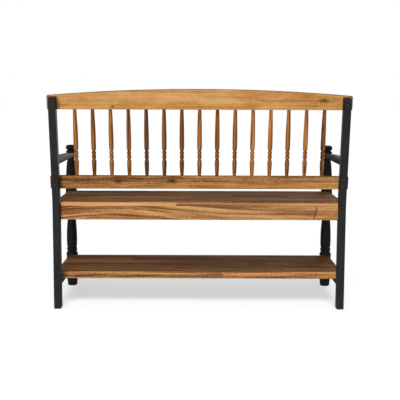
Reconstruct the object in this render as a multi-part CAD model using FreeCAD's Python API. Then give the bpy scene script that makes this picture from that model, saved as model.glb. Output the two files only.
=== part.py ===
import FreeCAD, Part
import math
import os

os.makedirs("parts", exist_ok=True)

# A bench with a raked spindle back, two armrests and a low shelf, in
# millimetres with Z up. X runs along the bench, the sitter faces -Y and the
# back leans towards +Y. Left is -X. While the pieces are made, y is zero on
# the rear faces of the rear posts. At the end they are all moved together,
# so that the origin lies on the floor in the middle of the footprint.

# Overall widths and heights
back_width = 1197.0
rail_overhang = 11.5
seat_height = 442.5
seat_end_inset = 1.5
shelf_height = 144.0
shelf_end_overhang = 1.5

# Rear posts, straight up to the seat and bent back above it
rear_post_width = 29.0
rear_post_depth = 44.0
back_lean = 10.0
bend_above_seat = 1.5
bend_radius = 520.0
rear_post_ease = 2.5
rear_post_crown_radius = 13.0
post_top_drop = 1.5

# Back rails, measured along the leaning back from its bend
back_rail_thickness = 20.0
back_rail_ease = 2.5
lower_rail_rise = 48.5
lower_rail_height = 54.0
top_rail_end_height = 55.5
top_rail_arch = 26.0

# Turned spindles between the back rails
spindle_count = 15
spindle_length = 275.5
spindle_diameter = 18.9
spindle_end_gap = 69.0
spindle_tenon_diameter = 9.0
spindle_tenon_length = 13.0

# Front posts, turned, with a square block under each board
front_post_setback = 461.0
front_post_inset = 11.0
front_post_stock = 54.5
seat_block_drop = 14.0
shelf_block_height = 30.0
block_shoulder = 7.0
arm_band_drop = 16.5
arm_band_rise = 0.5
finial_height = 40.0

# Armrests, above the seat, from the rear posts to the necks of the front posts
arm_rise = 157.0
arm_width = 36.0
arm_rear_thickness = 23.0
arm_front_thickness = 12.5
arm_hump = 2.5
arm_top_ease = 4.5
arm_bottom_ease = 2.0
arm_cope_depth = 4.0
arm_tenon_length = 13.0

# Seat board on its four aprons
seat_board_thickness = 16.0
seat_rear_setback = 25.0
seat_front_inset = 7.0
seat_ease = 2.0
apron_height = 57.0
apron_thickness = 18.0
apron_ease = 2.0
front_apron_setback = 1.5

# Shelf on its two side stretchers
shelf_thickness = 29.0
shelf_rear_setback = 67.0
shelf_front_inset = 11.0
shelf_ease = 2.0
stretcher_width = 24.0
stretcher_height = 17.0

# Joints
tenon_length = 14.0
tenon_play = 0.15
tenon_end_gap = 1.0
board_play = 0.3
cut_overrun = 5.0

# Bolts through the rear posts into the back rails
bolt_diameter = 6.0
bolt_head_diameter = 11.0
bolt_head_height = 3.0
bolt_bite = 12.0
bolt_play = 0.2

# Turned pieces and round holes are drawn with flats, which keeps them light.
# Pieces that fit into each other have the same number.
post_sides = 24
spindle_sides = 14
dowel_sides = 8

# Shares of the piece that carries each feature
tenon_thickness_share = 0.45
tenon_height_share = 0.38
tenon_offset_share = 0.24
arm_tenon_share = 0.8
fillet_limit_share = 0.4
board_round_share = 0.935
arm_band_share = 0.58
arm_top_slope_share = 0.9
block_corner_share = 0.95
block_shoulder_share = 0.8

# Turned profiles. A station is the height share, the radius share and, where
# the stretch that ends there is bowed, the radius share half-way up to it.
# A stretch that ends on the axis is a dome.
foot_shares = [
    (0.0, 0.69, None),
    (0.04, 0.78, 0.75),
    (0.75, 0.925, 0.885),
    (1.0, 0.935, None),
]
lower_column_shares = [
    (0.0, 1.0, None),
    (0.083, 0.765, 0.915),
    (0.173, 0.74, 0.875),
    (0.213, 0.85, 0.825),
    (0.796, 0.68, 0.85),
    (0.853, 0.68, 0.79),
    (0.953, 0.935, 0.865),
    (1.0, 0.935, None),
]
upper_column_shares = [
    (0.0, 0.935, None),
    (0.79, 0.75, 0.875),
    (1.0, 0.58, 0.69),
]
finial_shares = [
    (0.35, 0.585, 0.83),
    (0.41, 0.585, None),
    (0.67, 0.83, 0.79),
    (0.94, 0.63, 0.79),
    (1.0, 0.0, None),
]
spindle_shares = [
    (0.0, 0.68, None),
    (0.207, 0.95, 0.86),
    (0.259, 0.73, 0.895),
    (0.317, 0.73, 0.90),
    (0.375, 0.73, 0.895),
    (0.49, 1.0, 0.93),
    (1.0, 0.70, 0.915),
]
bolt_head_shares = [
    (0.0, 0.45, None),
    (0.75, 1.0, 0.85),
    (1.0, 1.0, None),
]

# Places that follow from the sizes above
seat_length = back_width - 2 * seat_end_inset
shelf_length = back_width + 2 * shelf_end_overhang
arm_height = seat_height + arm_rise
seat_front_setback = front_post_setback - seat_front_inset
shelf_front_setback = front_post_setback - shelf_front_inset
post_outer_x = back_width / 2
post_inner_x = post_outer_x - rear_post_width
post_middle_x = post_outer_x - rear_post_width / 2
front_post_x = post_outer_x - front_post_inset
stock_radius = front_post_stock / 2
board_round_radius = stock_radius * board_round_share
arm_band_radius = stock_radius * arm_band_share
seat_underside = seat_height - seat_board_thickness
apron_underside = seat_underside - apron_height
shelf_underside = shelf_height - shelf_thickness
shelf_block_bottom = shelf_underside - shelf_block_height
seat_block_bottom = apron_underside - seat_block_drop
arm_band_bottom = arm_height - arm_band_drop
arm_band_top = arm_height + arm_front_thickness + arm_band_rise
rear_front_face = -rear_post_depth
block_rear_face = -(front_post_setback - stock_radius)
lean = math.radians(back_lean)
bend_height = seat_height + bend_above_seat
bend_start = bend_height - bend_radius * math.tan(lean / 2)
half_depth = rear_post_depth / 2
lower_rail_top = lower_rail_rise + lower_rail_height
top_rail_bottom = lower_rail_top + spindle_length
top_rail_end_top = top_rail_bottom + top_rail_end_height
rail_half_length = post_outer_x + rail_overhang
spindle_row_half = post_inner_x - spindle_end_gap
touch = 1e-4


def vec(x, y, z):
    return FreeCAD.Vector(x, y, z)


origin = vec(0, 0, 0)
along_bench = vec(1, 0, 0)
rearwards = vec(0, 1, 0)
upwards = vec(0, 0, 1)


def block(x_pair, y_pair, z_pair):
    """A box between two values on each axis, given in either order."""
    x_low, x_high = sorted(x_pair)
    y_low, y_high = sorted(y_pair)
    z_low, z_high = sorted(z_pair)
    corner = vec(x_low, y_low, z_low)
    return Part.makeBox(x_high - x_low, y_high - y_low, z_high - z_low, corner)


def dowel(radius, start, direction, length, sides=dowel_sides):
    """A round pin or hole along a direction."""
    pin = turned([(0, radius, None), (length, radius, None)], sides)
    pin.Placement = FreeCAD.Placement(start, FreeCAD.Rotation(upwards, direction))
    return pin


def mirrored(shape):
    """The same piece for the left end of the bench."""
    return shape.mirror(origin, along_bench)


def moved(shape, x, y, z):
    copy = shape.copy()
    copy.translate(vec(x, y, z))
    return copy


def eased(shape, radius, wall, chosen):
    """Rounds the chosen edges, by no more than the wall allows."""
    edges = [edge for edge in shape.Edges if chosen(edge)]
    return shape.makeFillet(min(radius, wall * fillet_limit_share), edges)


def chamfered(shape, size, wall, chosen):
    """Takes the chosen edges off flat, by no more than the wall allows."""
    edges = [edge for edge in shape.Edges if chosen(edge)]
    return shape.makeChamfer(min(size, wall * fillet_limit_share), edges)


def parallel(edge, axis):
    """True for a straight edge that runs along an axis."""
    if edge.Curve.TypeId != "Part::GeomLine":
        return False
    return edge.tangentAt(edge.FirstParameter).cross(axis).Length < touch


def any_edge(edge):
    return True


def dome_radius(low, radius, high):
    """The radius half-way up a dome whose centre lies on the axis."""
    rise = high - low
    sphere_radius = (radius ** 2 + rise ** 2) / (2 * rise)
    return math.sqrt(sphere_radius ** 2 - (sphere_radius - rise / 2) ** 2)


def ring(height, radius, sides):
    """The corners of a turned piece at one height, the first one repeated last."""
    corners = []
    for number in range(sides + 1):
        angle = 2 * math.pi * (number % sides) / sides
        corners.append(vec(radius * math.cos(angle), radius * math.sin(angle), height))
    return corners


def straight_stations(stations):
    """Heights and radii, with the half-way point of each bowed stretch put in."""
    places = [stations[0][:2]]
    for height, radius, mid_radius in stations[1:]:
        low, low_radius = places[-1]
        if radius == 0:
            mid_radius = dome_radius(low, low_radius, height)
        if mid_radius is not None:
            places.append(((low + height) / 2, mid_radius))
        places.append((height, radius))
    return places


def turned(stations, sides):
    """A turned solid about Z from stations of height, radius and mid radius."""
    places = straight_stations(stations)
    lower = ring(*places[0], sides)
    outlines = [lower]
    for height, radius in places[1:]:
        upper = ring(height, radius, sides)
        for number in range(sides):
            outline = [lower[number], lower[number + 1], upper[number + 1], upper[number]]
            if radius == 0:
                outline = outline[:3]
            outlines.append(outline + outline[:1])
        lower = upper
    if radius > 0:
        outlines.append(lower)
    shell = Part.makeShell([Part.Face(Part.makePolygon(outline)) for outline in outlines])
    shell.sewShape()
    solid = Part.makeSolid(Part.Shell(shell.Faces))
    if solid.Volume < 0:
        solid.reverse()
    return solid


def stations_from(shares, low, high, radius):
    """Turned stations between two heights, with radii as shares of one radius."""
    stations = []
    for height_share, radius_share, mid_share in shares:
        mid_radius = None if mid_share is None else mid_share * radius
        stations.append((low + height_share * (high - low), radius_share * radius, mid_radius))
    return stations


# The leaning back. Its own frame has x along the bench, the height along the
# leaning middle line of the posts, and "forward" square to that line.

def back_point(x, forward, height):
    """A place on the leaning back, in the bench's frame."""
    y = -half_depth + height * math.sin(lean) - forward * math.cos(lean)
    z = bend_height + height * math.cos(lean) + forward * math.sin(lean)
    return vec(x, y, z)


def leaned(shape):
    """Moves a piece made upright on the back's own frame to the leaning back."""
    copy = shape.copy()
    copy.rotate(origin, along_bench, -back_lean)
    copy.translate(vec(0, -half_depth, bend_height))
    return copy


def front_face_y(z):
    """Where the leaning front face of a rear post is at a height above the floor."""
    height = (z - bend_height - half_depth * math.sin(lean)) / math.cos(lean)
    return back_point(0, half_depth, height).y


def bend_point(x, radius, angle):
    """A place on the bend of a rear post, at an angle from its start."""
    y = -half_depth + bend_radius - radius * math.cos(angle)
    return vec(x, y, bend_start + radius * math.sin(angle))


def rear_post_outline(x):
    """The side view of a rear post: straight, bent, straight, with a rounded crown."""
    rear_bend = bend_radius - half_depth
    front_bend = bend_radius + half_depth
    top = top_rail_end_top - post_top_drop
    crown = rear_post_crown_radius
    diagonal = crown * math.cos(math.pi / 4)
    crown_low = back_point(x, -half_depth, top - crown)
    crown_middle = back_point(x, crown - half_depth - diagonal, top - crown + diagonal)
    crown_high = back_point(x, crown - half_depth, top)
    front_top = back_point(x, half_depth, top)
    rear_foot = vec(x, 0, 0)
    front_foot = vec(x, rear_front_face, 0)
    rear_start = bend_point(x, rear_bend, 0)
    rear_end = bend_point(x, rear_bend, lean)
    front_start = bend_point(x, front_bend, 0)
    front_end = bend_point(x, front_bend, lean)
    curves = [
        Part.LineSegment(rear_foot, rear_start),
        Part.Arc(rear_start, bend_point(x, rear_bend, lean / 2), rear_end),
        Part.LineSegment(rear_end, crown_low),
        Part.Arc(crown_low, crown_middle, crown_high),
        Part.LineSegment(crown_high, front_top),
        Part.LineSegment(front_top, front_end),
        Part.Arc(front_end, bend_point(x, front_bend, lean / 2), front_start),
        Part.LineSegment(front_start, front_foot),
        Part.LineSegment(front_foot, rear_foot),
    ]
    return Part.Wire([curve.toShape() for curve in curves])


def rear_post():
    """The right rear post, with its mortises and bolt holes."""
    face = Part.Face(rear_post_outline(post_inner_x))
    post = face.extrude(vec(rear_post_width, 0, 0))
    front_top = back_point(post_middle_x, half_depth, top_rail_end_top - post_top_drop)

    def outer(edge):
        if not parallel(edge, along_bench):
            return True
        at_top_corner = edge.CenterOfMass.distanceToPoint(front_top) < touch
        return at_top_corner or abs(edge.CenterOfMass.z) < touch

    post = chamfered(post, rear_post_ease, rear_post_width, outer)
    for cutter in (rear_apron_tenon(play=tenon_play), side_apron_tenon(1, play=tenon_play)):
        post = post.cut(cutter)
    post = post.cut(stretcher_tenon(1, play=tenon_play))
    post = post.cut(arm_rear_tenon(play=tenon_play))
    for height in bolt_heights():
        start = back_point(post_middle_x, -half_depth - cut_overrun, height)
        ahead = back_point(post_middle_x, half_depth + cut_overrun, height) - start
        hole = dowel(bolt_diameter / 2 + bolt_play, start, ahead, ahead.Length)
        post = post.cut(hole)
    return post


# Tenons. Each one starts inside the rail that carries it. The same shape,
# grown by the play and the end gap, cuts the mortise.

def tenon_band(low, high, side):
    """The height range of a tenon, above (1) or below (-1) the middle of its rail."""
    height = high - low
    middle = (low + high) / 2 + side * tenon_offset_share * height
    half = tenon_height_share * height / 2
    return middle - half, middle + half


def grown(low, high, play):
    return low - play, high + play


def rear_apron_tenon(play=0):
    """The right tenon of the rear apron, in the inner face of the rear post."""
    end_gap = tenon_end_gap if play else 0
    middle = -(seat_rear_setback + apron_thickness / 2)
    half = apron_thickness * tenon_thickness_share / 2
    z_low, z_high = tenon_band(apron_underside, seat_underside, -1)
    x_pair = (post_inner_x - tenon_end_gap, post_inner_x + tenon_length + end_gap)
    return block(x_pair, grown(middle - half, middle + half, play), grown(z_low, z_high, play))


def front_apron_middle():
    return -(seat_front_setback - front_apron_setback - apron_thickness / 2)


def front_apron_tenon(play=0):
    """The right tenon of the front apron, in the seat block of the front post."""
    end_gap = tenon_end_gap if play else 0
    face = front_post_x - stock_radius
    middle = front_apron_middle()
    half = apron_thickness * tenon_thickness_share / 2
    z_low, z_high = tenon_band(apron_underside, seat_underside, -1)
    x_pair = (face - tenon_end_gap, face + tenon_length + end_gap)
    return block(x_pair, grown(middle - half, middle + half, play), grown(z_low, z_high, play))


def side_apron_tenon(end, play=0):
    """A tenon of the right side apron, at the rear (1) or the front (-1)."""
    end_gap = tenon_end_gap if play else 0
    face = rear_front_face if end > 0 else block_rear_face
    middle = post_inner_x + apron_thickness / 2
    half = apron_thickness * tenon_thickness_share / 2
    z_low, z_high = tenon_band(apron_underside, seat_underside, 1)
    y_pair = (face - end * tenon_end_gap, face + end * (tenon_length + end_gap))
    return block(grown(middle - half, middle + half, play), y_pair, grown(z_low, z_high, play))


def stretcher_tenon(end, play=0):
    """A tenon of the right shelf stretcher, at the rear (1) or the front (-1)."""
    end_gap = tenon_end_gap if play else 0
    face = rear_front_face if end > 0 else block_rear_face
    x_middle = post_inner_x + stretcher_width / 2
    x_half = stretcher_width * tenon_thickness_share / 2
    z_middle = shelf_underside - stretcher_height / 2
    z_half = stretcher_height * tenon_thickness_share / 2
    y_pair = (face - end * tenon_end_gap, face + end * (tenon_length + end_gap))
    x_pair = grown(x_middle - x_half, x_middle + x_half, play)
    return block(x_pair, y_pair, grown(z_middle - z_half, z_middle + z_half, play))


def arm_rear_tenon(play=0):
    """The round tenon of the right armrest in the leaning front of the rear post."""
    end_gap = tenon_end_gap if play else 0
    z = arm_height + arm_rear_thickness / 2
    start = vec(post_middle_x, front_face_y(z) - arm_cope_depth, z)
    radius = arm_front_thickness * arm_tenon_share / 2 + play
    return dowel(radius, start, rearwards, arm_cope_depth + arm_tenon_length + end_gap)


def arm_front_tenon(play=0):
    """The round tenon of the right armrest in the neck of the front post."""
    end_gap = tenon_end_gap if play else 0
    z = arm_height + arm_front_thickness / 2
    start = vec(front_post_x, -(front_post_setback - arm_band_radius - arm_cope_depth), z)
    radius = arm_front_thickness * arm_tenon_share / 2 + play
    return dowel(radius, start, -rearwards, arm_cope_depth + arm_tenon_length + end_gap)


def at_front_post(shape):
    """Moves a piece made about Z to the right front post."""
    return moved(shape, front_post_x, -front_post_setback, 0)


def front_post_block(low, high):
    """A square block whose lower end is turned to a rounded shoulder."""
    corner_radius = stock_radius * math.sqrt(2) * block_corner_share
    rise = corner_radius - board_round_radius
    stations = [
        (low, board_round_radius, None),
        (low + block_shoulder, corner_radius, board_round_radius + block_shoulder_share * rise),
        (high, corner_radius, None),
    ]
    side = (-stock_radius, stock_radius)
    return block(side, side, (low, high)).common(turned(stations, post_sides))


def front_post_turning():
    """The turned shape of a front post from the floor to the top of its cap."""
    radius = stock_radius
    stations = stations_from(foot_shares, 0, shelf_block_bottom, radius)
    stations.append((shelf_height, board_round_radius, None))
    stations += stations_from(lower_column_shares, shelf_height, seat_block_bottom, radius)
    stations += stations_from(upper_column_shares, seat_height, arm_band_bottom, radius)
    stations.append((arm_band_top, arm_band_radius, None))
    stations += stations_from(finial_shares, arm_band_top, arm_band_top + finial_height, radius)
    return turned(stations, post_sides)


def front_post():
    """The right front post, with the mortises for aprons, stretcher and armrest."""
    blocks = [
        front_post_block(shelf_block_bottom, shelf_underside),
        front_post_block(seat_block_bottom, seat_underside),
    ]
    post = at_front_post(front_post_turning().fuse(blocks).removeSplitter())
    cutters = [
        front_apron_tenon(play=tenon_play),
        side_apron_tenon(-1, play=tenon_play),
        stretcher_tenon(-1, play=tenon_play),
        arm_front_tenon(play=tenon_play),
    ]
    for cutter in cutters:
        post = post.cut(cutter)
    return post


def armrest():
    """The right armrest: flat below, gently humped above, coped to the front post."""
    x_low = front_post_x - arm_width / 2
    top_rear = arm_height + arm_rear_thickness
    top_front = arm_height + arm_front_thickness
    front_end = -(front_post_setback - arm_band_radius + arm_cope_depth)
    rear_low = vec(x_low, front_face_y(arm_height), arm_height)
    rear_high = vec(x_low, front_face_y(top_rear), top_rear)
    front_low = vec(x_low, front_end, arm_height)
    front_high = vec(x_low, front_end, top_front)
    hump = (rear_high + front_high) / 2 + vec(0, 0, arm_hump)
    outline = Part.makePolygon([rear_low, front_low, front_high, hump, rear_high, rear_low])
    arm = Part.Face(outline).extrude(vec(arm_width, 0, 0))

    def long_and_high(edge):
        along_arm = abs(edge.tangentAt(edge.FirstParameter).y) > arm_top_slope_share
        return along_arm and edge.CenterOfMass.z > top_front

    def long_and_low(edge):
        return parallel(edge, rearwards) and abs(edge.CenterOfMass.z - arm_height) < touch

    arm = eased(arm, arm_top_ease, arm_front_thickness, long_and_high)
    arm = eased(arm, arm_bottom_ease, arm_front_thickness, long_and_low)
    neck = dowel(arm_band_radius, origin, upwards, arm_band_top, post_sides)
    arm = arm.cut(at_front_post(neck))
    return arm.fuse([arm_rear_tenon(), arm_front_tenon()])


def bolt_heights():
    """The heights of the bolts along the leaning back."""
    lower = lower_rail_rise + lower_rail_height / 2
    upper = top_rail_bottom + top_rail_end_height / 2
    return lower, upper


def rail_bolts():
    """The four bolts that hold the back rails, each a separate solid."""
    radius = bolt_head_diameter / 2
    length = rear_post_depth + bolt_bite
    stations = stations_from(bolt_head_shares, -bolt_head_height, 0, radius)
    stations.append((0, bolt_diameter / 2, None))
    stations.append((length, bolt_diameter / 2, None))
    bolt = turned(stations, dowel_sides)
    bolt.rotate(origin, along_bench, 90)
    bolts = []
    for height in bolt_heights():
        for side in (-1, 1):
            bolts.append(leaned(moved(bolt, side * post_middle_x, half_depth, height)))
    return Part.makeCompound(bolts)


def rail_bolt_holes(height):
    """The two blind holes that a back rail has for its bolts."""
    radius = bolt_diameter / 2 + bolt_play
    length = cut_overrun + bolt_bite + tenon_end_gap
    holes = []
    for side in (-1, 1):
        start = vec(side * post_middle_x, cut_overrun - half_depth, height)
        holes.append(dowel(radius, start, -rearwards, length))
    return holes


def spindle_places():
    """The middles of the spindles along the bench."""
    pitch = 2 * spindle_row_half / (spindle_count - 1)
    return [number * pitch - spindle_row_half for number in range(spindle_count)]


def spindle_holes(edge_height, direction):
    """Blind holes for the spindle tenons, from a rail's edge into the rail."""
    radius = spindle_tenon_diameter / 2 + tenon_play
    length = spindle_tenon_length + tenon_end_gap + cut_overrun
    y = -(half_depth + back_rail_thickness / 2)
    holes = []
    for x in spindle_places():
        start = vec(x, y, edge_height) - upwards * (direction * cut_overrun)
        holes.append(dowel(radius, start, upwards * direction, length))
    return holes


def top_rail():
    """The top rail: straight below, arched above, eased all round."""
    y = -half_depth
    left_low = vec(-rail_half_length, y, top_rail_bottom)
    right_low = vec(rail_half_length, y, top_rail_bottom)
    right_high = vec(rail_half_length, y, top_rail_end_top)
    left_high = vec(-rail_half_length, y, top_rail_end_top)
    crest = vec(0, y, top_rail_end_top + top_rail_arch)
    curves = [
        Part.LineSegment(left_low, right_low),
        Part.LineSegment(right_low, right_high),
        Part.Arc(right_high, crest, left_high),
        Part.LineSegment(left_high, left_low),
    ]
    outline = Part.Wire([curve.toShape() for curve in curves])
    rail = Part.Face(outline).extrude(vec(0, -back_rail_thickness, 0))
    rail = chamfered(rail, back_rail_ease, back_rail_thickness, any_edge)
    rail = rail.cut(spindle_holes(top_rail_bottom, 1))
    return leaned(rail.cut(rail_bolt_holes(bolt_heights()[1])))


def lower_back_rail():
    """The straight rail behind the sitter's hips."""
    x_pair = (-rail_half_length, rail_half_length)
    y_pair = (-half_depth, -half_depth - back_rail_thickness)
    rail = block(x_pair, y_pair, (lower_rail_rise, lower_rail_top))
    rail = chamfered(rail, back_rail_ease, back_rail_thickness, any_edge)
    rail = rail.cut(spindle_holes(lower_rail_top, -1))
    return leaned(rail.cut(rail_bolt_holes(bolt_heights()[0])))


def spindle():
    """A turned spindle at the middle of the bench, with a round tenon at each end."""
    stations = stations_from(spindle_shares, lower_rail_top, top_rail_bottom, spindle_diameter / 2)
    body = turned(stations, spindle_sides)
    tenon_start = lower_rail_top - spindle_tenon_length
    radius = spindle_tenon_diameter / 2
    low_tenon = dowel(radius, upwards * tenon_start, upwards, spindle_tenon_length)
    high_tenon = dowel(radius, upwards * top_rail_bottom, upwards, spindle_tenon_length)
    piece = body.fuse([low_tenon, high_tenon])
    return leaned(moved(piece, 0, -(half_depth + back_rail_thickness / 2), 0))


def board(length, rear_setback, front_setback, low, high, ease):
    """A board with eased edges, coped around the front posts."""
    x_pair = (-length / 2, length / 2)
    shape = block(x_pair, (-rear_setback, -front_setback), (low, high))
    shape = chamfered(shape, ease, high - low, any_edge)
    radius = board_round_radius + board_play
    cope = dowel(radius, origin, upwards, high + cut_overrun, post_sides)
    right = at_front_post(cope)
    return shape.cut([right, mirrored(right)])


def seat_board():
    """The seat board, also notched around the rear posts."""
    shape = board(seat_length, seat_rear_setback, seat_front_setback,
                  seat_underside, seat_height, seat_ease)
    x_pair = (post_inner_x - board_play, post_outer_x + cut_overrun)
    y_pair = (rear_front_face - board_play, cut_overrun)
    notch = block(x_pair, y_pair, (seat_underside - cut_overrun, seat_height + cut_overrun))
    return shape.cut([notch, mirrored(notch)])


def shelf_board():
    return board(shelf_length, shelf_rear_setback, shelf_front_setback,
                 shelf_underside, shelf_height, shelf_ease)


def eased_below(rail, axis):
    """Rounds the two long lower edges of a rail."""
    low = rail.BoundBox.ZMin
    thickness = min(rail.BoundBox.XLength, rail.BoundBox.YLength)

    def long_and_low(edge):
        return parallel(edge, axis) and abs(edge.CenterOfMass.z - low) < touch

    return eased(rail, apron_ease, thickness, long_and_low)


def rear_apron():
    x_pair = (-post_inner_x, post_inner_x)
    y_pair = (-seat_rear_setback, -seat_rear_setback - apron_thickness)
    rail = eased_below(block(x_pair, y_pair, (apron_underside, seat_underside)), along_bench)
    tenon = rear_apron_tenon()
    return rail.fuse([tenon, mirrored(tenon)])


def front_apron():
    half_length = front_post_x - stock_radius
    middle = front_apron_middle()
    y_pair = (middle - apron_thickness / 2, middle + apron_thickness / 2)
    rail = block((-half_length, half_length), y_pair, (apron_underside, seat_underside))
    rail = eased_below(rail, along_bench)
    tenon = front_apron_tenon()
    return rail.fuse([tenon, mirrored(tenon)])


def side_apron():
    """The right side apron, from the rear post to the front post's seat block."""
    x_pair = (post_inner_x, post_inner_x + apron_thickness)
    y_pair = (rear_front_face, block_rear_face)
    rail = eased_below(block(x_pair, y_pair, (apron_underside, seat_underside)), rearwards)
    return rail.fuse([side_apron_tenon(1), side_apron_tenon(-1)])


def shelf_stretcher():
    """The right stretcher under the shelf."""
    x_pair = (post_inner_x, post_inner_x + stretcher_width)
    y_pair = (rear_front_face, block_rear_face)
    z_pair = (shelf_underside - stretcher_height, shelf_underside)
    rail = eased_below(block(x_pair, y_pair, z_pair), rearwards)
    return rail.fuse([stretcher_tenon(1), stretcher_tenon(-1)])


def all_pieces():
    """Every piece of the bench by its name."""
    pieces = {
        "top_rail": top_rail(),
        "lower_back_rail": lower_back_rail(),
        "seat_board": seat_board(),
        "rear_apron": rear_apron(),
        "front_apron": front_apron(),
        "shelf_board": shelf_board(),
        "rail_bolts": rail_bolts(),
    }
    paired = {
        "rear_post": rear_post(),
        "front_post": front_post(),
        "armrest": armrest(),
        "side_apron": side_apron(),
        "shelf_stretcher": shelf_stretcher(),
    }
    for name, right in paired.items():
        pieces[name + "_right"] = right
        pieces[name + "_left"] = mirrored(right)
    middle_spindle = spindle()
    for number, x in enumerate(spindle_places(), start=1):
        pieces["spindle_%02d" % number] = moved(middle_spindle, x, 0, 0)
    return pieces


def main():
    pieces = all_pieces()
    whole = Part.makeCompound(list(pieces.values()))
    footprint = whole.optimalBoundingBox(False)
    shift = vec(-footprint.Center.x, -footprint.Center.y, -footprint.ZMin)
    for name, shape in pieces.items():
        shape.translate(shift)
        shape.exportStep("parts/%s.step" % name)
    size = (footprint.XLength, footprint.YLength, footprint.ZLength)
    print("length %.1f, depth %.1f, height %.1f" % size)
    print("moved along y by %.3f" % shift.y)


main()
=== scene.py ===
import math
import random

import bpy
from mathutils import Matrix, Vector


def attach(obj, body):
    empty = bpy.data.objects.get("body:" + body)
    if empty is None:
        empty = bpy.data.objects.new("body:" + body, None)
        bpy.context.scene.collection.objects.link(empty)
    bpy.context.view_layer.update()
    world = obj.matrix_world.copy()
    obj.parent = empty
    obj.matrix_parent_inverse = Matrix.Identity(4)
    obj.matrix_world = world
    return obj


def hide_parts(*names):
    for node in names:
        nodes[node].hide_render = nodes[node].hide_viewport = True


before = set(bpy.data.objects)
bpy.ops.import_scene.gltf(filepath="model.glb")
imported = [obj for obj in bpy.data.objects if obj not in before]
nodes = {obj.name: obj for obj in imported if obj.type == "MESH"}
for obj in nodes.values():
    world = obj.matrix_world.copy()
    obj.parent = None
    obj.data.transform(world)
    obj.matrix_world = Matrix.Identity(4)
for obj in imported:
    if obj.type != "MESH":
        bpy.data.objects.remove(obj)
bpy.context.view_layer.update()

# ---------------------------------------------------------------- camera

# Fitted to the photograph: the camera stands behind the bench and looks slightly down.
FOCAL_PX = 856.64
IMAGE_PX = 400
SENSOR = 36.0
CAMERA_PLACE = (0.0134, 3.6670, 0.8757)
CAMERA_DOWN = math.radians(6.8976)
CAMERA_YAW = math.radians(0.1942)
CAMERA_ROLL = math.radians(0.2062)
LENS_AXIS_PX = (-1.06, -0.512)


def make_camera():
    """The photograph's camera, with image-left at +X."""
    forward = Vector((
        -math.sin(CAMERA_YAW) * math.cos(CAMERA_DOWN),
        -math.cos(CAMERA_YAW) * math.cos(CAMERA_DOWN),
        -math.sin(CAMERA_DOWN),
    ))
    right = forward.cross(Vector((0, 0, 1))).normalized()
    up = right.cross(forward)
    turned_right = right * math.cos(CAMERA_ROLL) + up * math.sin(CAMERA_ROLL)
    turned_up = up * math.cos(CAMERA_ROLL) - right * math.sin(CAMERA_ROLL)
    data = bpy.data.cameras.new("photo_camera")
    data.sensor_width = SENSOR
    data.lens = FOCAL_PX * SENSOR / IMAGE_PX
    data.shift_x = -LENS_AXIS_PX[0] / IMAGE_PX
    data.shift_y = LENS_AXIS_PX[1] / IMAGE_PX
    data.dof.use_dof = False
    camera = bpy.data.objects.new("photo_camera", data)
    bpy.context.scene.collection.objects.link(camera)
    axes = Matrix((turned_right, turned_up, -forward)).transposed().to_4x4()
    camera.matrix_world = Matrix.Translation(CAMERA_PLACE) @ axes
    bpy.context.scene.camera = camera


make_camera()

# ---------------------------------------------------------------- node trees


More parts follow.
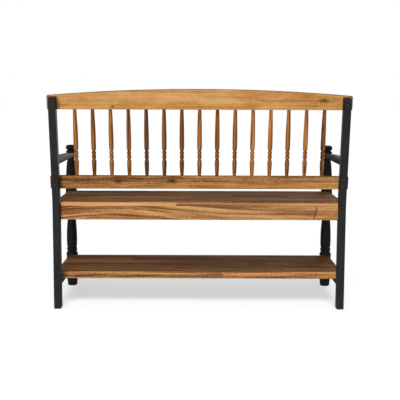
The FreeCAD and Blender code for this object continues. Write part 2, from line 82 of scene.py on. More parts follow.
class Shader:
    """A node tree that is built by small calls, each of which returns an output socket."""

    def __init__(self, owner):
        owner.use_nodes = True
        self.owner = owner
        self.tree = owner.node_tree
        self.tree.nodes.clear()

    def node(self, kind, settings=None, inputs=None):
        made = self.tree.nodes.new(kind)
        for name, value in (settings or {}).items():
            setattr(made, name, value)
        for name, value in (inputs or {}).items():
            self.put(made.inputs[name], value)
        return made

    def put(self, socket, value):
        if isinstance(value, bpy.types.NodeSocket):
            self.tree.links.new(value, socket)
        else:
            socket.default_value = value

    def math(self, operation, *values, clamp=False):
        settings = {"operation": operation, "use_clamp": clamp}
        return self.node("ShaderNodeMath", settings, dict(enumerate(values))).outputs[0]

    def vector(self, operation, *values):
        made = self.node("ShaderNodeVectorMath", {"operation": operation}, dict(enumerate(values)))
        return made.outputs["Value"] if operation == "DOT_PRODUCT" else made.outputs[0]

    def split(self, vector):
        return self.node("ShaderNodeSeparateXYZ", inputs={0: vector}).outputs

    def join(self, x, y, z):
        return self.node("ShaderNodeCombineXYZ", inputs={0: x, 1: y, 2: z}).outputs[0]

    def stretch(self, vector, scale):
        return self.vector("MULTIPLY", vector, scale)

    def noise(self, vector, detail=3.0, roughness=0.55, distortion=0.0):
        inputs = {
            "Vector": vector, "Scale": 1.0, "Detail": detail,
            "Roughness": roughness, "Distortion": distortion,
        }
        return self.node("ShaderNodeTexNoise", inputs=inputs).outputs[0]

    def ranged(self, value, low, high, to_low=0.0, to_high=1.0):
        inputs = {0: value, 1: low, 2: high, 3: to_low, 4: to_high}
        settings = {"interpolation_type": "SMOOTHSTEP"}
        return self.node("ShaderNodeMapRange", settings, inputs).outputs[0]

    def mix(self, factor, first, second, blend="MIX"):
        settings = {"data_type": "RGBA", "blend_type": blend, "clamp_factor": True}
        return self.node("ShaderNodeMix", settings, {0: factor, 6: first, 7: second}).outputs[2]

    def ramp(self, value, stops):
        made = self.node("ShaderNodeValToRGB", inputs={0: value})
        elements = made.color_ramp.elements
        while len(elements) < len(stops):
            elements.new(0.5)
        for element, (place, colour) in zip(elements, stops):
            element.position = place
            element.color = colour
        return made.outputs[0]

    def random_of(self, vector):
        """One random number from 0 to 1 for each whole-number vector."""
        settings = {"noise_dimensions": "3D"}
        return self.node("ShaderNodeTexWhiteNoise", settings, {"Vector": vector}).outputs[0]

    def edge(self, radius):
        """1 on outer and inner edges, 0 on open faces, from the rounded normal."""
        rounded = self.node("ShaderNodeBevel", {"samples": 4}, {"Radius": radius}).outputs[0]
        plain = self.node("ShaderNodeNewGeometry").outputs["Normal"]
        alike = self.vector("DOT_PRODUCT", rounded, plain)
        return self.ranged(alike, 0.99, 0.86)

    def finish(self, surface, bump=None, depth=0.0):
        if bump is not None:
            inputs = {"Height": bump, "Distance": depth, "Strength": 1.0}
            made = self.node("ShaderNodeBump", inputs=inputs)
            self.put(surface.inputs["Normal"], made.outputs[0])
        output = self.node("ShaderNodeOutputMaterial")
        self.tree.links.new(surface.outputs[0], output.inputs[0])
        return self.owner


def rgb(red, green, blue):
    """A colour of the screen, 0 to 255, as the linear colour that nodes take."""
    linear = []
    for value in (red, green, blue):
        share = value / 255
        linear.append(share / 12.92 if share <= 0.04045 else ((share + 0.055) / 1.055) ** 2.4)
    return (*linear, 1.0)


# ---------------------------------------------------------------- materials

WORN_EDGE = rgb(80, 73, 66)
# Painted highlight colour of the armrests' top band.
PAINTED_TOP_LIGHT = rgb(140, 138, 135)
KNOT = rgb(52, 32, 22)
CRACK = rgb(74, 42, 26)
DEEP_SHADE = (0.035, 0.016, 0.008, 1.0)
FULL_TURN = 6.283
FINGER_LENGTH = 0.0035
SEAM_WIDTH = 0.0007
EDGE_FADE = 0.012
CRACK_FADE = 0.008


def paint(name, deep, pale, stroke, lengthwise=2, gloss=0.10, lightened=None):
    """Black paint with a low sheen over wood, brushed along one axis and thin on the edges.

    lightened is (amount, from height, to height) of a band painted paler: a painted highlight, as
    if light from above fell there.
    """
    shader = Shader(bpy.data.materials.new(name))
    place = shader.node("ShaderNodeTexCoord").outputs["Object"]
    cloud = shader.noise(shader.stretch(place, (9.0, 9.0, 5.0)))
    fine = [420.0, 420.0, 420.0]
    wide = [150.0, 150.0, 150.0]
    fine[lengthwise] = 22.0
    wide[lengthwise] = 5.0
    wide_strokes = shader.noise(shader.stretch(place, wide), 2.0)
    fine_strokes = shader.noise(shader.stretch(place, fine), 4.0)
    strokes = shader.math("MULTIPLY_ADD", wide_strokes, 0.5,
                          shader.math("MULTIPLY", fine_strokes, 0.5))
    specks = shader.noise(shader.stretch(place, (300.0, 300.0, 300.0)), 4.0)
    tone = shader.ranged(cloud, 0.3, 0.7)
    colour = shader.mix(tone, deep, pale)
    colour = shader.mix(shader.ranged(strokes, 0.44, 0.66, 0.0, 0.6), colour, stroke)
    colour = shader.mix(shader.ranged(specks, 0.50, 0.72, 0.0, 0.7), colour, stroke)
    worn = shader.math("MULTIPLY", shader.edge(0.0022), shader.ranged(cloud, 0.42, 0.68))
    colour = shader.mix(shader.math("MULTIPLY", worn, 0.4), colour, WORN_EDGE)
    # Painted highlight: the band between the two heights is painted paler, as if lit from above.
    if lightened:
        amount, low, high = lightened
        above_floor = shader.split(place)[2]
        top = shader.math("MULTIPLY", shader.ranged(above_floor, low, high, 0.0, amount),
                          shader.ranged(strokes, 0.40, 0.60, 0.6, 1.0))
        colour = shader.mix(top, colour, PAINTED_TOP_LIGHT)
    rough = shader.ranged(strokes, 0.2, 0.8, 0.58, 0.74)
    height = shader.math("ADD", strokes, shader.math("MULTIPLY", specks, 0.35))
    surface = shader.node("ShaderNodeBsdfPrincipled", inputs={
        "Base Color": colour, "Roughness": rough, "Specular IOR Level": gloss,
    })
    return shader.finish(surface, height, 0.00018)


def steel():
    """Dark satin steel of the bolt heads, with turning marks and dull edges."""
    shader = Shader(bpy.data.materials.new("bolt_steel_dark"))
    place = shader.node("ShaderNodeTexCoord").outputs["Object"]
    marks = shader.noise(shader.stretch(place, (900.0, 900.0, 2500.0)), 2.0)
    cloud = shader.noise(shader.stretch(place, (160.0, 160.0, 160.0)), 3.0)
    colour = shader.mix(shader.ranged(cloud, 0.35, 0.65), rgb(42, 43, 46), rgb(60, 61, 65))
    dulled = shader.math("MULTIPLY", shader.edge(0.0005), 0.4)
    colour = shader.mix(dulled, colour, rgb(96, 98, 104))
    rough = shader.ranged(marks, 0.2, 0.8, 0.32, 0.5)
    surface = shader.node("ShaderNodeBsdfPrincipled", inputs={
        "Base Color": colour, "Roughness": rough, "Metallic": 1.0,
    })
    return shader.finish(surface, marks, 0.00005)


def knotted(shader, place, knots):
    """The place with the grain pushed round each knot, and how dark the knots are there."""
    dark = 0.0
    for x, z, size, strength in knots:
        away = shader.vector("SUBTRACT", place, (x, 0.0, z))
        parts = shader.split(shader.stretch(away, (0.5 / size, 0.0, 1.0 / size)))
        squared = shader.math("ADD", shader.math("POWER", parts[0], 2.0),
                              shader.math("POWER", parts[2], 2.0))
        near = shader.math("EXPONENT", shader.math("MULTIPLY", squared, -0.35))
        core = shader.math("EXPONENT", shader.math("MULTIPLY", squared, -2.2))
        core = shader.math("MULTIPLY", core, strength)
        push = shader.math("MULTIPLY", shader.math("MULTIPLY", near, parts[2]), -size * 0.75)
        place = shader.vector("ADD", place, shader.join(0.0, 0.0, push))
        dark = shader.math("ADD", core, dark)
    return place, dark


def bell(shader, value, centre, half):
    """1 where the value is at the centre, and about a third at half a width from it."""
    away = shader.math("DIVIDE", shader.math("SUBTRACT", value, centre), half)
    squared = shader.math("MULTIPLY", away, away)
    return shader.math("EXPONENT", shader.math("MULTIPLY", squared, -1.0))


def wood(name, tones, *, turn=(0.0, 0.0, 0.0), seed=0.0, contrast=1.0, rings=7.0, knots=(),
         staves=None, tone_and_shade=False, fade=None, gloss=0.03, rough=(0.76, 0.92), stick=None,
         fine=1.0, sweep=None, bands=(), ends=None, mark=None, fleck=0.0, patch=None,
         mottle=0.0):
    """Oiled wood with its grain along X once the place is turned.

    tones are the dark, middle and light colours; rings is how many year rings the broad
    noise spans; knots are (x, z, size, darkness); staves is (width, depth, length) of the
    glued-up sticks; ends is (distance from the middle, darker by); fade is a place and how
    much lighter the wood gets per metre along each axis from there; stick is
    (y, x, z, lit, rest): behind y the board has only two sticks, joined at x at the height z,
    and how much lighter each is; fine is how close the streaks lie; sweep is
    (rise, x, half width) of an arch in the grain; bands are (z, half height, lighter by,
    from x, to x, behind y); mark is
    (x, low z, high z, slope, width) of a drying crack; fleck is how strong the short flecks
    are; patch is (x, half width, lighter by) of a stretch; mottle is how strong the soft
    clouds of lighter and darker wood are.
    """
    shader = Shader(bpy.data.materials.new(name))
    place = shader.node("ShaderNodeTexCoord").outputs["Object"]
    if any(turn):
        place = shader.node("ShaderNodeMapping", inputs={
            "Vector": place, "Rotation": turn,
        }).outputs[0]
    flat_place = place
    flat_x, flat_y, flat_z = shader.split(flat_place)[:3]
    dark = None
    seam = None
    if sweep:
        rise, centre, half = sweep
        lift = shader.math("MULTIPLY", bell(shader, flat_x, centre, half), -rise)
        place = shader.vector("ADD", place, shader.join(0.0, 0.0, lift))
    if knots:
        place, dark = knotted(shader, place, knots)
    place = shader.vector("ADD", place, (seed * 3.1, seed * 1.7, seed * 2.3))
    if staves:
        width, depth, length = staves
        row = shader.math("DIVIDE", flat_y, width)
        layer = shader.math("DIVIDE", flat_z, depth)
        row_number = shader.math("FLOOR", row)
        layer_number = shader.math("FLOOR", layer)
        shift = shader.random_of(shader.join(row_number, layer_number, 7.0))
        fingers = shader.math("PINGPONG", flat_y, FINGER_LENGTH)
        column = shader.math("DIVIDE", shader.math("ADD", flat_x, fingers), length)
        column = shader.math("ADD", column, shift)
        if stick:
            stick_y, joint_x, joint_z, lit, rest = stick
            behind = shader.math("GREATER_THAN", flat_y, stick_y)
            slope = 1.1
            slant = shader.math("MULTIPLY_ADD", flat_z, slope,
                                shader.math("SUBTRACT", flat_x, joint_x + joint_z * slope))
            long_column = shader.math("MULTIPLY_ADD", slant, 0.5, 10.0)
            kept = shader.math("SUBTRACT", 1.0, behind)
            column = shader.math("ADD", shader.math("MULTIPLY", column, kept),
                                 shader.math("MULTIPLY", long_column, behind))
        column_number = shader.math("FLOOR", column)
        own = shader.join(column_number, row_number, layer_number)
        lot = shader.random_of(own)
        place = shader.vector("ADD", place, shader.stretch(own, (5.3, 0.71, 0.37)))
        gaps = []
        for value, size in ((row, width), (layer, depth), (column, length)):
            part = shader.math("FRACT", value)
            far = shader.math("ABSOLUTE", shader.math("SUBTRACT", part, 0.5))
            gaps.append(shader.ranged(far, 0.5 - SEAM_WIDTH / size, 0.5))
        seam = shader.math("MAXIMUM", shader.math("MAXIMUM", gaps[0], gaps[2]), gaps[1])
    broad = shader.noise(shader.stretch(place, (1.1, 14.0, 14.0)), 2.0, 0.5)
    contour = shader.math("MULTIPLY", broad, rings * FULL_TURN)
    ring = shader.math("MULTIPLY_ADD", shader.math("SINE", contour), 0.5, 0.5)
    streak = shader.noise(shader.stretch(place, (1.7, 120.0 * fine, 120.0 * fine)), 5.0, 0.62)
    fibre = shader.noise(shader.stretch(place, (26.0, 1100.0, 1100.0)), 3.0, 0.6)
    pores = shader.noise(shader.stretch(place, (70.0, 1700.0, 1700.0)), 2.0)
    pores = shader.ranged(pores, 0.6, 0.72)
    value = shader.math("MULTIPLY_ADD", shader.math("SUBTRACT", ring, 0.5), 0.24 * contrast, 0.5)
    crisp = shader.ranged(streak, 0.36, 0.64)
    for source, share in ((crisp, 0.56), (broad, 0.7), (fibre, 0.45)):
        value = shader.math("MULTIPLY_ADD", shader.math("SUBTRACT", source, 0.5),
                            share * contrast, value)
    if fleck:
        flecks = shader.noise(shader.stretch(place, (130.0, 330.0, 330.0)), 3.0, 0.65)
        flecks = shader.ranged(flecks, 0.26, 0.74, -1.35 * fleck, 1.35 * fleck)
        value = shader.math("ADD", flecks, value)
    if staves:
        own_tone = shader.math("MULTIPLY", shader.math("SUBTRACT", lot, 0.5), 0.5)
        if stick:
            past_joint = shader.math("GREATER_THAN", slant, 0.0)
            stick_tone = shader.math("MULTIPLY_ADD", past_joint, lit - rest, rest)
            own_tone = shader.math("ADD", shader.math("MULTIPLY", own_tone, kept),
                                   shader.math("MULTIPLY", stick_tone, behind))
        value = shader.math("ADD", own_tone, value)
    if fade:
        centre, growth = fade
        away = shader.vector("SUBTRACT", flat_place, centre)
        lighter = shader.vector("DOT_PRODUCT", away, growth)
        value = shader.math("ADD", lighter, value)
    for z, half, amount, low, high, behind_y in bands:
        there = shader.math("MULTIPLY", shader.math("GREATER_THAN", flat_x, low),
                            shader.math("LESS_THAN", flat_x, high))
        there = shader.math("MULTIPLY", there, shader.math("GREATER_THAN", flat_y, behind_y))
        there = shader.math("MULTIPLY", there, bell(shader, flat_z, z, half))
        value = shader.math("MULTIPLY_ADD", there, amount, value)
    if mottle:
        clouds = shader.noise(shader.stretch(place, (8.0, 24.0, 24.0)), 3.0, 0.6, 0.5)
        value = shader.math("ADD", shader.ranged(clouds, 0.32, 0.68, -mottle, mottle), value)
    if patch:
        centre, half, amount = patch
        value = shader.math("MULTIPLY_ADD", bell(shader, flat_x, centre, half), amount, value)
    if ends:
        start, darker = ends
        reach = shader.math("ABSOLUTE", flat_x)
        end_shade = shader.ranged(reach, start, start + EDGE_FADE, 0.0, darker)
        value = shader.math("SUBTRACT", value, end_shade)
    deepest = tuple(0.60 * share for share in tones[0][:3])
    palest = tuple(min(1.15 * share, 1.0) for share in tones[2][:3])
    value = shader.math("MULTIPLY_ADD", value, 0.8, 0.1)
    colour = shader.ramp(value, [
        (0.0, (*deepest, 1.0)), (0.196, tones[0]), (0.5, tones[1]), (0.804, tones[2]),
        (1.0, (*palest, 1.0)),
    ])
    # The spindles' colour attribute holds their own tone and their painted shade.
    if tone_and_shade:
        own_tone_and_shade = shader.node("ShaderNodeAttribute", {"attribute_name": "tone_and_shade"}).outputs["Color"]
        colour = shader.mix(1.0, colour, own_tone_and_shade, "MULTIPLY")
    shade = shader.mix(0.62, colour, DEEP_SHADE)
    late = shader.math("MULTIPLY", shader.ranged(ring, 0.80, 0.98),
                       shader.ranged(streak, 0.62, 0.42))
    colour = shader.mix(shader.math("MULTIPLY", late, 0.42 * contrast), colour, shade)
    colour = shader.mix(shader.math("MULTIPLY", pores, 0.45), colour, shade)
    if seam is not None:
        colour = shader.mix(shader.math("MULTIPLY", seam, 0.55), colour, shade)
    if dark is not None:
        colour = shader.mix(shader.math("MINIMUM", dark, 0.93), colour, KNOT)
    if mark:
        start, low, high, slope, width = mark
        line = shader.math("MULTIPLY_ADD", shader.math("SUBTRACT", flat_z, low), -slope, flat_x)
        line = shader.math("MULTIPLY_ADD", shader.math("SUBTRACT", broad, 0.5), 0.012, line)
        within = shader.math("MULTIPLY", shader.ranged(flat_z, low, low + CRACK_FADE),
                             shader.ranged(flat_z, high, high - CRACK_FADE))
        crack = shader.math("MULTIPLY", bell(shader, line, start, width), within)
        colour = shader.mix(shader.math("MULTIPLY", crack, 0.85), colour, CRACK)
    edge = shader.edge(0.0020)
    lightened = shader.math("MULTIPLY", edge, shader.ranged(streak, 0.35, 0.6, 0.06, 0.28))
    colour = shader.mix(lightened, colour, tones[2])
    height = shader.math("MULTIPLY_ADD", pores, -0.8, fibre)
    height = shader.math("MULTIPLY_ADD", streak, 0.7, height)
    if seam is not None:
        height = shader.math("MULTIPLY_ADD", seam, -0.9, height)
    dull = shader.ranged(fibre, 0.2, 0.8, *rough)
    surface = shader.node("ShaderNodeBsdfPrincipled", inputs={
        "Base Color": colour, "Roughness": dull, "Specular IOR Level": gloss,
    })
    return shader.finish(surface, height, 0.00022)


BLACKS = (rgb(28, 27, 26), rgb(37, 36, 34), rgb(56, 54, 51))
black = paint("black_paint_brushed", *BLACKS)
# The armrests' top band is painted paler: painted light from above.
black_along = paint("black_paint_brushed_along", rgb(24, 23, 22), rgb(31, 30, 28),
                    rgb(47, 45, 42), lengthwise=1, gloss=0.02, lightened=(0.20, 0.609, 0.622))
# Painted light: a lighter copy of the brushed-along paint for the armrest at +X, which gets more
# light, with a much paler painted top band.
black_arm_lit = paint("black_paint_arm_lit", rgb(26, 25, 24), rgb(34, 33, 32),
                   rgb(58, 56, 54), lengthwise=1, gloss=0.03, lightened=(0.95, 0.606, 0.618))
# Painted shade: the front posts get a darker copy of the black paint, for the shade that falls on
# them.
black_shaded = paint("black_paint_turned_shaded", rgb(13, 11, 10), rgb(18, 16, 14), rgb(30, 28, 26))
bolt_steel = steel()
honey = wood("honey_wood_rail", (rgb(170, 112, 58), rgb(212, 154, 88), rgb(230, 178, 114)),
             seed=1.3, contrast=0.60, rings=4.0, fine=1.5, ends=(0.588, 0.35), fleck=0.14,
             mottle=0.15,
             fade=((-0.16, 0.0, 0.86), (0.12, 0.0, 0.0)), patch=(0.10, 0.32, 0.13),
             knots=((-0.4955, 0.8585, 0.0115, 0.85), (0.348, 0.8318, 0.0060, 1.0)))
brown = wood("brown_wood_rail", (rgb(124, 79, 44), rgb(179, 126, 75), rgb(214, 158, 94)),
             seed=4.1, contrast=0.85, rings=6.0, fine=1.3, ends=(0.588, 0.75), fleck=0.20,
             mottle=0.10,
             fade=((0.0, 0.0, 0.533), (-0.33, 0.0, -4.5)),
             knots=((0.332, 0.5265, 0.0130, 0.85), (0.112, 0.5305, 0.0140, 0.95)))
turned_wood = wood("spindle_wood_turned", (rgb(104, 59, 32), rgb(171, 109, 56), rgb(218, 152, 84)),
                   turn=(math.radians(10.0), math.radians(90.0), 0.0), seed=2.7, tone_and_shade=True,
                   contrast=1.3, rings=4.0, fine=2.4)
stave = wood("stave_wood_board", (rgb(138, 88, 56), rgb(190, 135, 87), rgb(228, 170, 108)),
             seed=5.9, contrast=1.2, rings=7.0, staves=(0.046, 0.40, 0.41), fleck=0.22,
             stick=(0.176, 0.092, 0.4345, 0.60, -0.07), fade=((0.0, 0.17, 0.4345), (0.0, 0.7, 0.0)))
# Painted shade: the shelf is painted darker towards its front, where it lies under the seat.
shelf_wood = wood("stave_wood_shelf", (rgb(122, 74, 46), rgb(170, 118, 74), rgb(222, 162, 94)),
                  seed=8.3, contrast=1.4, rings=8.0, staves=(0.055, 0.40, 0.47), fleck=0.22,
                  stick=(0.1316, -0.098, 0.13, 0.0, 0.0), fade=((0.0, 0.05, 0.13), (0.0, 0.9, 0.0)),
                  bands=((0.1388, 0.0042, 0.42, -0.7, -0.098, 0.1316),
                         (0.1275, 0.0042, -0.40, -0.7, 0.52, 0.1316),
                         (0.1175, 0.0030, 0.28, -0.7, 0.7, 0.1316)))
APRON_TONES = (rgb(138, 88, 56), rgb(189, 134, 86), rgb(228, 172, 109))
apron = wood("apron_wood_streaked", APRON_TONES, seed=3.6, contrast=1.2, rings=8.0,
             fleck=0.17, fade=((0.15, 0.0, 0.4), (-0.20, 0.0, 0.0)), patch=(0.0, 0.32, -0.09),
             sweep=(0.042, 0.36, 0.34),
             mark=(-0.469, 0.3705, 0.4262, -0.28, 0.0030),
             knots=((-0.4585, 0.394, 0.0075, 0.35), (0.450, 0.402, 0.0050, 0.7)))
front_apron = wood("apron_wood_front", APRON_TONES, seed=9.4, contrast=1.2, rings=7.0, fleck=0.20,
                   sweep=(0.030, -0.18, 0.40), knots=((0.205, 0.399, 0.0060, 0.6),))
side_apron = wood("apron_wood_side", APRON_TONES, seed=6.2, contrast=1.1, rings=7.0, fleck=0.20,
                  turn=(0.0, 0.0, math.radians(90.0)))

# ---------------------------------------------------------------- shapes

LEAN = math.radians(10.0)
BEND_HEIGHT = 0.444
BEND_Y = 0.185371


def leaning(x, forward, height):
    """A point of the leaning back, from its distance before the posts' middle and its height."""
    y = BEND_Y + height * math.sin(LEAN) - forward * math.cos(LEAN)
    z = BEND_HEIGHT + height * math.cos(LEAN) + forward * math.sin(LEAN)
    return Vector((x, y, z))


def profile(start, length, radius, stations, steps=7):
    """(height, radius) pairs of a turned stretch. A station is (share of the length, share of
    the radius), the same with the share that its stretch bows to half-way, or that and True
    where the stretch is a full round bead."""
    points = []
    last = None
    for station in stations:
        place, share = station[:2]
        middle = station[2] if len(station) > 2 else None
        if last is None or middle is None:
            points.append((start + place * length, share * radius))
        else:
            for step in range(1, steps + 1):
                t = step / steps
                if len(station) > 3:
                    t = (1 - math.cos(math.pi * t)) / 2
                    between = last[1] + (share - last[1]) * t
                    rise = middle - (last[1] + share) / 2
                    bowed = between + rise * 2 * math.sqrt(t * (1 - t))
                else:
                    bowed = (last[1] * (1 - t) * (1 - 2 * t) + 4 * middle * t * (1 - t)
                             + share * t * (2 * t - 1))
                points.append((start + (last[0] + (place - last[0]) * t) * length, bowed * radius))
        last = (place, share)
    return points


def piece(name, vertices, faces, material, replaced):
    """A new object with that mesh, smooth but for its sharp edges, that stands for CAD nodes."""
    mesh = bpy.data.meshes.new(name)
    mesh.from_pydata(vertices, [], faces)
    mesh.validate()
    mesh.shade_smooth()
    mesh.set_sharp_from_angle(angle=math.radians(34))
    mesh.materials.append(material)
    made = bpy.data.objects.new(name, mesh)
    bpy.context.scene.collection.objects.link(made)
    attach(made, "root")
    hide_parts(*replaced)
    return made


def soften(target, width, segments=3, angle=30.0):
    """Rounds the edges of a piece and keeps its flat faces flat."""
    weld = target.modifiers.new("weld", "WELD")
    weld.merge_threshold = 0.00002
    bevel = target.modifiers.new("soft_edges", "BEVEL")
    bevel.width = width
    bevel.segments = segments
    bevel.limit_method = "ANGLE"
    bevel.angle_limit = math.radians(angle)
    bevel.use_clamp_overlap = True
    bevel.harden_normals = False
    weighted = target.modifiers.new("flat_faces", "WEIGHTED_NORMAL")
    weighted.keep_sharp = False


def rings_mesh(points, angles, outline):
    """Vertices and faces of stacked rings; outline(angle, radius) is the distance there."""
    vertices = []
    for height, radius in points:
        for angle in angles:
            reach = outline(angle, radius)
            vertices.append((reach * math.cos(angle), reach * math.sin(angle), height))
    count = len(angles)
    faces = []
    for ring in range(len(points) - 1):
        for side in range(count):
            after = (side + 1) % count
            faces.append((
                ring * count + side, ring * count + after,
                (ring + 1) * count + after, (ring + 1) * count + side,
            ))
    faces.append(tuple(reversed(range(count))))
    faces.append(tuple(range((len(points) - 1) * count, len(points) * count)))
    return vertices, faces


REAR_POST_HALF = 0.022

# Front posts: square stock, turned between the two blocks. The round stretches between the
# blocks and the columns are hidden in the shelf and in the seat.
POST_HALF = 0.02725
POST_CORNER = POST_HALF * math.sqrt(2) * 0.95
POST_ROUND = 0.02548
POST_PLACE = (0.5875, -0.253629)
SHELF_BLOCK = (0.085, 0.115)
LOWER_START = 0.144
LOWER_LENGTH = 0.2115
SEAT_BLOCK = (0.3555, 0.4265)
UPPER_START = 0.4425
UPPER_LENGTH = 0.1405
NECK_TOP = 0.6125
FINIAL_LENGTH = 0.040
POST_TOP = 0.6525
# The turned stretches as stations of profile().
FOOT = ((0, 0.69), (0.04, 0.78), (0.75, 0.925, 0.885), (1, 0.935))
LOWER_COLUMN = (
    (0, 1.0), (0.083, 0.765, 0.915), (0.173, 0.74, 0.875), (0.213, 0.85, 0.825),
    (0.796, 0.68, 0.85), (0.853, 0.68, 0.79), (0.953, 0.935, 0.865), (1, 0.935),
)
UPPER_COLUMN = ((0, 0.935), (0.79, 0.75, 0.875), (1, 0.58, 0.69))
FINIAL = ((0, 0.58), (0.35, 0.585, 0.83), (0.41, 0.585), (0.67, 0.83, 0.79), (0.94, 0.63, 0.79))


def block(low, high):
    """A square block's stretch, whose lower corners are turned to a shoulder."""
    shoulder = 0.007
    points = []
    for step in range(7):
        t = step / 6
        swell = math.sin(t * math.pi / 2)
        points.append((low + shoulder * t, POST_ROUND + (POST_CORNER - POST_ROUND) * swell))
    points.append((high, POST_CORNER))
    return points


def front_post(name, node, side):
    """A turned post from its foot to its cap, with its square blocks at shelf and seat."""
    points = profile(0, SHELF_BLOCK[0], POST_HALF, FOOT, 8)
    points += block(*SHELF_BLOCK)
    points += [(SHELF_BLOCK[1], POST_ROUND), (LOWER_START, POST_ROUND)]
    points += profile(LOWER_START, LOWER_LENGTH, POST_HALF, LOWER_COLUMN, 10)
    points += block(*SEAT_BLOCK)
    points += [(SEAT_BLOCK[1], POST_ROUND)]
    points += profile(UPPER_START, UPPER_LENGTH, POST_HALF, UPPER_COLUMN, 12)
    points += [(NECK_TOP, FINIAL[0][1] * POST_HALF)]
    points += profile(NECK_TOP, FINIAL_LENGTH, POST_HALF, FINIAL, 8)[1:]
    last, reach = points[-1]
    for step in range(1, 7):
        t = step / 6 * math.pi / 2
        height = last + (POST_TOP - last) * math.sin(t)
        points.append((height, max(reach * math.cos(t), 0.0002)))
    corner = math.acos(POST_HALF / POST_CORNER)
    quarter = [corner * step / 8 for step in range(-8, 9)] + [math.pi / 4]
    angles = [turn * math.pi / 2 + angle for turn in range(4) for angle in quarter]

    def outline(angle, radius):
        flat = POST_HALF / max(abs(math.cos(angle)), abs(math.sin(angle)))
        return min(flat, radius)

    vertices, faces = rings_mesh(points, angles, outline)
    place = Matrix.Translation((side * POST_PLACE[0], POST_PLACE[1], 0))
    vertices = [place @ Vector(v) for v in vertices]
    made = piece(name, vertices, faces, black_shaded, (node,))
    soften(made, 0.0007, 2, 38.0)


SPINDLE = (
    (0, 0.68), (0.207, 0.965, 0.86), (0.259, 0.52, 0.86), (0.317, 0.52, 0.93, True),
    (0.375, 0.52, 0.93, True), (0.425, 0.96, 0.90), (0.49, 1.0, 0.99), (1, 0.70, 0.93),
)
GROOVES = (0.259, 0.317, 0.375)
SPINDLE_TENON = (0.0042, 0.013)
SPINDLE_FORWARD = 0.032
SPINDLE_HEIGHTS = (0.1025, 0.378)
SPINDLE_RADIUS = 0.0098
SPINDLE_SIDES = 40
FIRST_SPINDLE_X = -0.5005
SPINDLE_STEP = 0.0715
# Painted shade on the spindles: how much darker, and over how much of the length, in the grooves,
# around the foot and at the top end.
GROOVE_SHADE = (0.62, 0.0085)
FOOT_SHADE = (0.38, 0.06, 0.14)
TOP_SHADE = (0.20, 0.06)
# The tone of each spindle from -X to +X, chosen among five.
SPINDLE_TONES = "mnnllmnnbbdnnnm"
TINTS = {
    "d": (0.38, 0.34, 0.42), "b": (0.53, 0.50, 0.53), "m": (0.80, 0.75, 0.70),
    "n": (0.96, 0.91, 0.82), "l": (1.14, 1.07, 0.90),
}


def spindle(number, x, tone):
    """A turned spindle with a pin at each end, with painted shade in its grooves and at its ends.
    """
    foot, head = (leaning(x, SPINDLE_FORWARD, height) for height in SPINDLE_HEIGHTS)
    length = (head - foot).length
    pin, depth = SPINDLE_TENON
    points = [(-depth, pin), (0, pin)] + profile(0, length, SPINDLE_RADIUS, SPINDLE, 12)
    points += [(length, pin), (length + depth, pin)]
    angles = [step / SPINDLE_SIDES * 2 * math.pi for step in range(SPINDLE_SIDES)]
    vertices, faces = rings_mesh(points, angles, lambda angle, radius: radius)
    upright = Vector((0, 0, 1)).rotation_difference(head - foot).to_matrix().to_4x4()
    place = Matrix.Translation(foot) @ upright
    vertices = [place @ Vector(v) for v in vertices]
    node = f"spindle_{number:02d}"
    made = piece(f"{node}_turned", vertices, faces, turned_wood, (node,))
    own = random.Random(number)
    change = 0.96 * (1 + own.uniform(-0.06, 0.06))
    groove_dark, groove_half = GROOVE_SHADE
    foot_dark, foot_middle, foot_half = FOOT_SHADE
    top_dark, top_half = TOP_SHADE
    # Painted shade in the grooves, at the foot and at the top end, multiplied into each spindle's
    # own tone.
    shades = []
    for height, _ in points:
        share = height / length
        away = min(abs(share - groove) for groove in GROOVES)
        shade = change * (1 - groove_dark * math.exp(-(away / groove_half) ** 2))
        shade *= 1 - foot_dark * math.exp(-((share - foot_middle) / foot_half) ** 2)
        shade *= 1 - top_dark * math.exp(-((1 - share) / top_half) ** 2)
        shades.append(shade)
    colours = made.data.color_attributes.new("tone_and_shade", "FLOAT_COLOR", "POINT")
    for index, item in enumerate(colours.data):
        shade = shades[index // len(angles)]
        item.color = (*(share * shade for share in TINTS[tone]), 1.0)


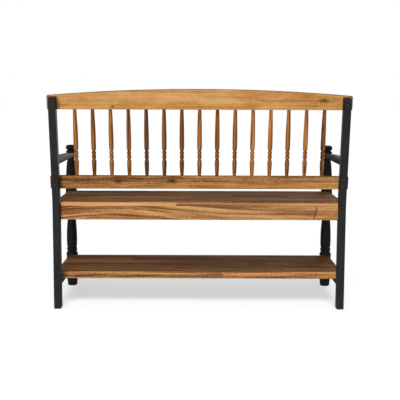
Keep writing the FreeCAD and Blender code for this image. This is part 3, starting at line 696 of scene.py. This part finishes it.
def armrest(name, node, side):
    """A rail with a slightly humped, rounded top from the rear post to the front post's neck.

    Its heights follow the photograph, where it is thicker than in the CAD. Its pins lie at
    the CAD tenons' heights, and the rear one fills the rear post's hole.
    """
    half = 0.018
    bottom = 0.5985
    top_rear = 0.6235
    top_front = 0.6150
    hump = 0.0045
    front = -0.2418
    front_pin_end = -0.2508
    rear_pin_length = 0.013
    front_z = 0.60575
    rear_z = 0.6110
    top_ease = 0.0045
    low_ease = 0.002
    pin = 0.0047
    rows = 40
    outline = []
    for centre_x, ease, top, turns in (
        (-half, low_ease, False, (180, 270)), (half, low_ease, False, (270, 360)),
        (half, top_ease, True, (0, 90)), (-half, top_ease, True, (90, 180)),
    ):
        inward = -1 if centre_x > 0 else 1
        for step in range(6):
            angle = math.radians(turns[0] + (turns[1] - turns[0]) * step / 5)
            outline.append((
                centre_x + inward * ease + ease * math.cos(angle), top,
                (-ease if top else ease) + ease * math.sin(angle),
            ))
    count = len(outline)
    low = leaning(0, REAR_POST_HALF, 0)
    middle_x = side * POST_PLACE[0]

    def rear_face(z):
        return low.y + (z - low.z) * math.tan(LEAN)

    def tenon_ring(middle_z, y_at):
        for step in range(count):
            angle = math.pi + 2 * math.pi * (step + 0.5) / count
            z = middle_z + pin * math.sin(angle)
            vertices.append((middle_x + pin * math.cos(angle), y_at(z), z))

    vertices = []
    tenon_ring(front_z, lambda z: front_pin_end)
    tenon_ring(front_z, lambda z: front)
    for row in range(rows + 1):
        t = row / rows
        for across, top, rise in outline:
            rear_top = top_front + (top_rear - top_front) * t
            crown = rear_top + hump * (1 - (2 * t - 1) ** 2)
            z = (crown if top else bottom) + rise
            vertices.append((middle_x + across, front + (rear_face(z) - front) * t, z))
    tenon_ring(rear_z, rear_face)
    tenon_ring(rear_z, lambda z: rear_face(rear_z) + rear_pin_length)
    faces = []
    for row in range(rows + 4):
        for step in range(count):
            after = (step + 1) % count
            faces.append((
                row * count + step, (row + 1) * count + step,
                (row + 1) * count + after, row * count + after,
            ))
    faces.append(tuple(range(count)))
    faces.append(tuple(reversed(range((rows + 4) * count, (rows + 5) * count))))
    # The armrest at +X gets the lighter, painted-light copy of the paint.
    paint_here = black_arm_lit if side > 0 else black_along
    piece(name, vertices, faces, paint_here, (node,))


BOLT_X = 0.584
BOLT_HEIGHTS = (0.0755, 0.40575)
# (distance along the bolt from under its head, radius); a minus radius is six-sided.
BOLT = (
    (-0.0012, -0.0020), (-0.0028, -0.0020), (-0.0030, 0.0024), (-0.0028, 0.0030),
    (-0.0022, 0.0041), (-0.0014, 0.0050), (-0.0006, 0.00545), (-0.0002, 0.0054),
    (0.0, 0.0052), (0.0, 0.0030), (0.0555, 0.0030), (0.0560, 0.0026),
)


def bolts():
    """Four bolts with domed heads and six-sided sockets."""
    angles = [step / 24 * 2 * math.pi for step in range(24)]

    def outline(angle, radius):
        if radius > 0:
            return radius
        return -radius / math.cos((angle + math.pi / 6) % (math.pi / 3) - math.pi / 6)

    one, one_faces = rings_mesh(BOLT, angles, outline)
    forward = leaning(0, 1, 0) - leaning(0, 0, 0)
    turned = Vector((0, 0, 1)).rotation_difference(forward).to_matrix().to_4x4()
    vertices = []
    faces = []
    for height in BOLT_HEIGHTS:
        for side in (-1, 1):
            place = leaning(side * BOLT_X, -REAR_POST_HALF, height)
            place = Matrix.Translation(place) @ turned
            start = len(vertices)
            vertices += [place @ Vector(v) for v in one]
            faces += [tuple(start + corner for corner in face) for face in one_faces]
    piece("rail_bolts_headed", vertices, faces, bolt_steel, ("rail_bolts",))


bolts()
for side, word in ((-1, "left"), (1, "right")):
    front_post(f"front_post_{word}_turned", f"front_post_{word}", side)
    armrest(f"armrest_{word}_shaped", f"armrest_{word}", side)
for number, tone in enumerate(SPINDLE_TONES, 1):
    spindle(number, FIRST_SPINDLE_X + SPINDLE_STEP * (number - 1), tone)

# CAD nodes that stay, with their material and how far their edges are rounded.
CARRIED = (
    (("rear_post_left", "rear_post_right"), black, 0.0016),
    (("shelf_stretcher_left", "shelf_stretcher_right"), black_along, 0.0010),
    (("top_rail",), honey, 0.0011),
    (("lower_back_rail",), brown, 0.0011),
    (("seat_board",), stave, 0.0010),
    (("shelf_board",), shelf_wood, 0.0010),
    (("rear_apron",), apron, 0.0010),
    (("front_apron",), front_apron, 0.0010),
    (("side_apron_left", "side_apron_right"), side_apron, 0.0010),
)
for names, material, width in CARRIED:
    for name in names:
        target = nodes[name]
        for slot in target.material_slots:
            slot.material = material
        soften(target, width)

# ---------------------------------------------------------------- studio


def shown_rays(shader):
    """1 for rays that show the background: seen directly, mirrored or through glass."""
    path = shader.node("ShaderNodeLightPath").outputs
    shown = shader.math("ADD", path["Is Camera Ray"], path["Is Glossy Ray"])
    return shader.math("ADD", shown, path["Is Transmission Ray"], clamp=True)


def make_floor():
    """A wide pale floor that shows white where it is open and grey in the bench's shadow."""
    half = 40.0
    corners = [(-half, -half, 0), (half, -half, 0), (half, half, 0), (-half, half, 0)]
    mesh = bpy.data.meshes.new("studio_floor")
    mesh.from_pydata(corners, [], [(0, 1, 2, 3)])
    shader = Shader(bpy.data.materials.new("studio_floor"))
    place = shader.node("ShaderNodeTexCoord").outputs["Object"]
    cloud = shader.noise(shader.stretch(place, (1.5, 1.5, 1.5)))
    pale = shader.mix(cloud, (0.355, 0.355, 0.355, 1.0), (0.365, 0.365, 0.365, 1.0))
    lit = shader.node("ShaderNodeBsdfDiffuse", inputs={"Color": (0.16, 0.16, 0.16, 1.0)})
    seen = shader.node("ShaderNodeBsdfDiffuse", inputs={"Color": pale})
    # The normal leans to +Y, so a piece darkens the floor before it more than behind it.
    close = shader.node("ShaderNodeAmbientOcclusion", {"samples": 12}, {
        "Distance": 0.20, "Normal": (0.0, 0.64, 0.77),
    }).outputs["AO"]
    glow = shader.ranged(close, 0.40, 0.92, 0.555, 0.61)
    own = shader.node("ShaderNodeEmission", inputs={"Color": (1, 1, 1, 1), "Strength": glow})
    both = shader.node("ShaderNodeAddShader", inputs={0: seen.outputs[0], 1: own.outputs[0]})
    surface = shader.node("ShaderNodeMixShader", inputs={
        0: shown_rays(shader), 1: lit.outputs[0], 2: both.outputs[0],
    })
    mesh.materials.append(shader.finish(surface))
    floor = bpy.data.objects.new("studio_floor", mesh)
    bpy.context.scene.collection.objects.link(floor)
    return floor


def make_world():
    """Soft light from all round the horizon, weaker from above; white where it is seen."""
    shader = Shader(bpy.data.worlds.new("studio"))
    bpy.context.scene.world = shader.owner
    height = shader.split(shader.node("ShaderNodeTexCoord").outputs["Generated"])[2]
    strength = shader.ranged(height, 0.20, 0.62, 0.56, 0.05)
    light = shader.node("ShaderNodeBackground", inputs={
        "Color": (1, 1, 1, 1), "Strength": strength,
    })
    white = shader.node("ShaderNodeBackground", inputs={
        "Color": (1, 1, 1, 1), "Strength": 1.0,
    })
    surface = shader.node("ShaderNodeMixShader", inputs={
        0: shown_rays(shader), 1: light.outputs[0], 2: white.outputs[0],
    })
    output = shader.node("ShaderNodeOutputWorld")
    shader.tree.links.new(surface.outputs[0], output.inputs[0])


def make_lamp(name, towards, strength, spread):
    """A soft sun that shines along the direction towards."""
    data = bpy.data.lights.new(name, "SUN")
    data.energy = strength
    data.angle = math.radians(spread)
    lamp = bpy.data.objects.new(name, data)
    lamp.rotation_mode = "QUATERNION"
    lamp.rotation_quaternion = Vector((0, 0, -1)).rotation_difference(Vector(towards))
    bpy.context.scene.collection.objects.link(lamp)
    return lamp


# Two low suns light the bench from behind and from the front. The third lights only the
# floor, where it casts the bench's shadow.
floor = make_floor()
make_world()
make_lamp("key_soft", (-0.20, -1.0, -0.12), 2.45, 24.0)
make_lamp("front_soft", (0.35, 1.0, -0.12), 0.9, 24.0)
floor_sun = make_lamp("floor_shadow", (0.0, -1.0, -1.0), 4.0, 26.0)
floor_only = bpy.data.collections.new("floor_only")
floor_only.objects.link(floor)
floor_sun.light_linking.receiver_collection = floor_only

bpy.context.scene.view_settings.view_transform = "Standard"
